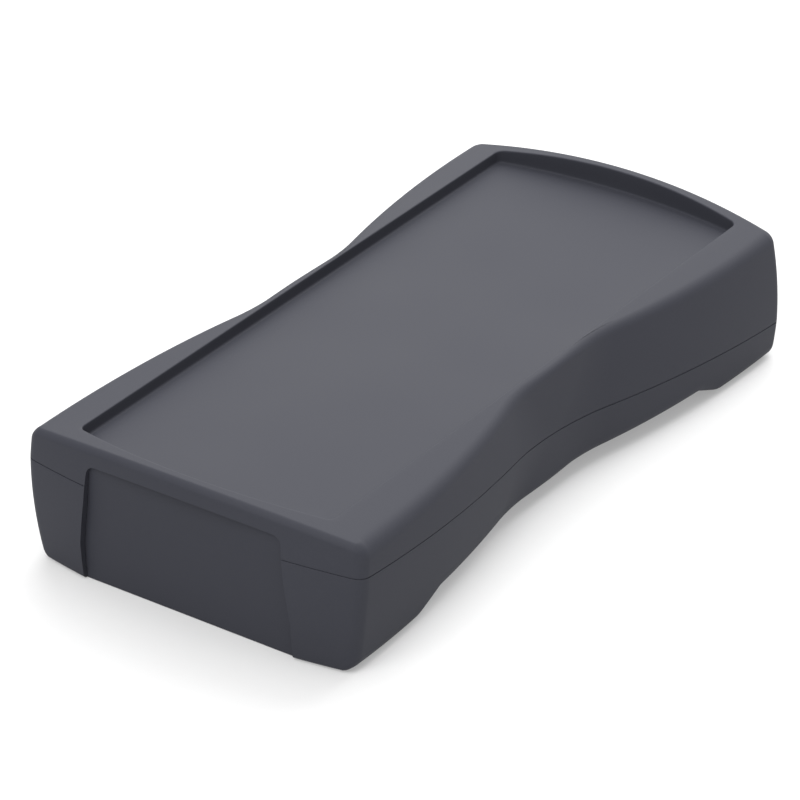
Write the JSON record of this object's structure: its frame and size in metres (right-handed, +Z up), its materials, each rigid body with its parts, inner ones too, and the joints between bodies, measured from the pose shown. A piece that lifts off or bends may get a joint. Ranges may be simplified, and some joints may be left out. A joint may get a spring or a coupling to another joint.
{
  "type": "handheld instrument enclosure",
  "caption": "Waisted handheld enclosure in moulded plastic: crowned top with a shallow recess, tilted seam, leaning end panel and low feet.",
  "frame": {"origin": "middle of the overall box, on the surface that the feet stand on", "axes": "+X across the case, +Y along it from the end panel to the closed end, +Z up through the crowned top"},
  "size_m": [0.0996, 0.1996, 0.0386],
  "materials": {
    "top_plastic": "dark slate grey ABS with a fine spark-eroded grain",
    "bottom_plastic": "dark slate grey ABS with a fine spark-eroded grain",
    "panel_plastic": "dark slate grey ABS, a little smoother than the shells",
    "screw_steel": "zinc plated"
  },
  "bodies": {
    "root": {"top_shell": "top_plastic", "bottom_shell": "bottom_plastic", "end_panel": "panel_plastic", "case_screws": "screw_steel"}
  },
  "joints": []
}
